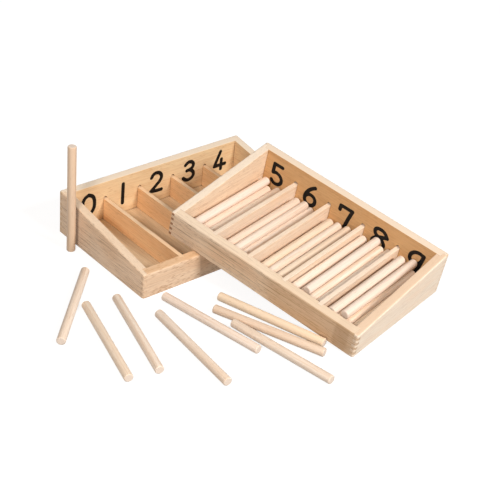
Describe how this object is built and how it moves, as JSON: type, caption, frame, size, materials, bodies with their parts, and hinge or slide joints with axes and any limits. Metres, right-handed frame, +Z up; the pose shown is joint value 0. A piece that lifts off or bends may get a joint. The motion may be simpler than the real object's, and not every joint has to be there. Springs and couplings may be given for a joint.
{
  "type": "montessori spindle box",
  "caption": "Wooden counting set: two open sloped trays with dividers, one leaning on the other, and loose round wooden spindles.",
  "frame": {"origin": "on the table, at the middle of the underside of the first box's front board", "axes": "+X along the first box from its left end to its right end, +Y from its front board to its back board, +Z up"},
  "size_m": [0.4637, 0.4497, 0.154],
  "materials": {
    "beech_boards": "satin clear varnish",
    "plywood_base": "satin clear varnish",
    "turned_beech": "smooth sanded"
  },
  "bodies": {
    "first_box": {"first_box_front_board": "beech_boards", "first_box_back_board": "beech_boards", "first_box_left_end": "beech_boards", "first_box_right_end": "beech_boards", "first_box_base_panel": "plywood_base", "first_box_divider_1": "beech_boards", "first_box_divider_2": "beech_boards", "first_box_divider_3": "beech_boards", "first_box_divider_4": "beech_boards"},
    "second_box": {"second_box_front_board": "beech_boards", "second_box_back_board": "beech_boards", "second_box_left_end": "beech_boards", "second_box_right_end": "beech_boards", "second_box_base_panel": "plywood_base", "second_box_divider_1": "beech_boards", "second_box_divider_2": "beech_boards", "second_box_divider_3": "beech_boards", "second_box_divider_4": "beech_boards"},
    "five_low_pair": {"spindles_five_low_1": "turned_beech", "spindles_five_low_2": "turned_beech"},
    "five_low_third": {"spindles_five_low_3": "turned_beech"},
    "five_low_right": {"spindles_five_low_4": "turned_beech"},
    "five_top": {"spindles_five_top_1": "turned_beech"},
    "six_low_row": {"spindles_six_low_1": "turned_beech", "spindles_six_low_2": "turned_beech", "spindles_six_low_3": "turned_beech"},
    "six_low_right": {"spindles_six_low_4": "turned_beech"},
    "six_top_left": {"spindles_six_top_1": "turned_beech"},
    "six_top_right": {"spindles_six_top_2": "turned_beech"},
    "seven_low_row": {"spindles_seven_low_1": "turned_beech", "spindles_seven_low_2": "turned_beech", "spindles_seven_low_3": "turned_beech", "spindles_seven_low_4": "turned_beech"},
    "seven_top_left": {"spindles_seven_top_1": "turned_beech"},
    "seven_top_middle": {"spindles_seven_top_2": "turned_beech"},
    "seven_top_right": {"spindles_seven_top_3": "turned_beech"},
    "eight_low_row": {"spindles_eight_low_1": "turned_beech"},
    "eight_middle_left": {"spindles_eight_middle_1": "turned_beech"},
    "eight_middle_pair": {"spindles_eight_middle_2": "turned_beech", "spindles_eight_middle_3": "turned_beech"},
    "eight_middle_right": {"spindles_eight_middle_4": "turned_beech"},
    "eight_top": {"spindles_eight_top_1": "turned_beech"},
    "nine_low_row": {"spindles_nine_low_1": "turned_beech"},
    "nine_middle_row": {"spindles_nine_middle_1": "turned_beech", "spindles_nine_middle_2": "turned_beech", "spindles_nine_middle_3": "turned_beech"},
    "nine_middle_right": {"spindles_nine_middle_4": "turned_beech"},
    "nine_top_left": {"spindles_nine_top_1": "turned_beech"},
    "nine_top_right": {"spindles_nine_top_2": "turned_beech"},
    "loose_a": {"spindle_loose_a": "turned_beech"},
    "loose_b": {"spindle_loose_b": "turned_beech"},
    "loose_c": {"spindle_loose_c": "turned_beech"},
    "loose_d": {"spindle_loose_d": "turned_beech"},
    "loose_e": {"spindle_loose_e": "turned_beech"},
    "loose_f": {"spindle_loose_f": "turned_beech"},
    "loose_g": {"spindle_loose_g": "turned_beech"},
    "loose_h": {"spindle_loose_h": "turned_beech"},
    "standing": {"spindle_standing": "turned_beech"}
  },
  "joints": [
    {"name": "lift_second_box", "type": "slide", "parent": "first_box", "child": "second_box", "axis": [0, 0, 1], "range_m": [0, 0.12]},
    {"name": "lift_five_low_pair", "type": "slide", "parent": "second_box", "child": "five_low_pair", "axis": [0, -0.1466, 0.9892], "range_m": [0, 0.08]},
    {"name": "lift_five_low_third", "type": "slide", "parent": "second_box", "child": "five_low_third", "axis": [0, -0.1466, 0.9892], "range_m": [0, 0.08]},
    {"name": "lift_five_low_right", "type": "slide", "parent": "second_box", "child": "five_low_right", "axis": [0, -0.1466, 0.9892], "range_m": [0, 0.08]},
    {"name": "lift_five_top", "type": "slide", "parent": "five_low_pair", "child": "five_top", "axis": [0, -0.1466, 0.9892], "range_m": [0, 0.08]},
    {"name": "lift_six_low_row", "type": "slide", "parent": "second_box", "child": "six_low_row", "axis": [0, -0.1466, 0.9892], "range_m": [0, 0.08]},
    {"name": "lift_six_low_right", "type": "slide", "parent": "second_box", "child": "six_low_right", "axis": [0, -0.1466, 0.9892], "range_m": [0, 0.08]},
    {"name": "lift_six_top_left", "type": "slide", "parent": "six_low_row", "child": "six_top_left", "axis": [0, -0.1466, 0.9892], "range_m": [0, 0.08]},
    {"name": "lift_six_top_right", "type": "slide", "parent": "six_low_row", "child": "six_top_right", "axis": [0, -0.1466, 0.9892], "range_m": [0, 0.08]},
    {"name": "lift_seven_low_row", "type": "slide", "parent": "second_box", "child": "seven_low_row", "axis": [0, -0.1466, 0.9892], "range_m": [0, 0.08]},
    {"name": "lift_seven_top_left", "type": "slide", "parent": "seven_low_row", "child": "seven_top_left", "axis": [0, -0.1466, 0.9892], "range_m": [0, 0.08]},
    {"name": "lift_seven_top_middle", "type": "slide", "parent": "seven_low_row", "child": "seven_top_middle", "axis": [0, -0.1466, 0.9892], "range_m": [0, 0.08]},
    {"name": "lift_seven_top_right", "type": "slide", "parent": "seven_low_row", "child": "seven_top_right", "axis": [0, -0.1466, 0.9892], "range_m": [0, 0.08]},
    {"name": "lift_eight_low_row", "type": "slide", "parent": "second_box", "child": "eight_low_row", "axis": [0, -0.1466, 0.9892], "range_m": [0, 0.08]},
    {"name": "lift_eight_middle_left", "type": "slide", "parent": "eight_low_row", "child": "eight_middle_left", "axis": [0, -0.1466, 0.9892], "range_m": [0, 0.08]},
    {"name": "lift_eight_middle_pair", "type": "slide", "parent": "eight_low_row", "child": "eight_middle_pair", "axis": [0, -0.1466, 0.9892], "range_m": [0, 0.08]},
    {"name": "lift_eight_middle_right", "type": "slide", "parent": "eight_low_row", "child": "eight_middle_right", "axis": [0, -0.1466, 0.9892], "range_m": [0, 0.08]},
    {"name": "lift_eight_top", "type": "slide", "parent": "eight_middle_pair", "child": "eight_top", "axis": [0, -0.1466, 0.9892], "range_m": [0, 0.08]},
    {"name": "lift_nine_low_row", "type": "slide", "parent": "second_box", "child": "nine_low_row", "axis": [0, -0.1466, 0.9892], "range_m": [0, 0.08]},
    {"name": "lift_nine_middle_row", "type": "slide", "parent": "nine_low_row", "child": "nine_middle_row", "axis": [0, -0.1466, 0.9892], "range_m": [0, 0.08]},
    {"name": "lift_nine_middle_right", "type": "slide", "parent": "nine_low_row", "child": "nine_middle_right", "axis": [0, -0.1466, 0.9892], "range_m": [0, 0.08]},
    {"name": "lift_nine_top_left", "type": "slide", "parent": "nine_middle_row", "child": "nine_top_left", "axis": [0, -0.1466, 0.9892], "range_m": [0, 0.08]},
    {"name": "lift_nine_top_right", "type": "slide", "parent": "nine_middle_row", "child": "nine_top_right", "axis": [0, -0.1466, 0.9892], "range_m": [0, 0.08]},
    {"name": "lift_loose_a", "type": "slide", "parent": "first_box", "child": "loose_a", "axis": [0, 0, 1], "range_m": [0, 0.08]},
    {"name": "lift_loose_b", "type": "slide", "parent": "first_box", "child": "loose_b", "axis": [0, 0, 1], "range_m": [0, 0.08]},
    {"name": "lift_loose_c", "type": "slide", "parent": "first_box", "child": "loose_c", "axis": [0, 0, 1], "range_m": [0, 0.08]},
    {"name": "lift_loose_d", "type": "slide", "parent": "first_box", "child": "loose_d", "axis": [0, 0, 1], "range_m": [0, 0.08]},
    {"name": "lift_loose_e", "type": "slide", "parent": "first_box", "child": "loose_e", "axis": [0, 0, 1], "range_m": [0, 0.08]},
    {"name": "lift_loose_f", "type": "slide", "parent": "first_box", "child": "loose_f", "axis": [0, -0.1466, 0.9892], "range_m": [0, 0.08]},
    {"name": "lift_loose_g", "type": "slide", "parent": "first_box", "child": "loose_g", "axis": [0, 0, 1], "range_m": [0, 0.08]},
    {"name": "lift_loose_h", "type": "slide", "parent": "first_box", "child": "loose_h", "axis": [0, 0, 1], "range_m": [0, 0.08]},
    {"name": "lift_standing", "type": "slide", "parent": "first_box", "child": "standing", "axis": [0, 0, 1], "range_m": [0, 0.08]}
  ]
}
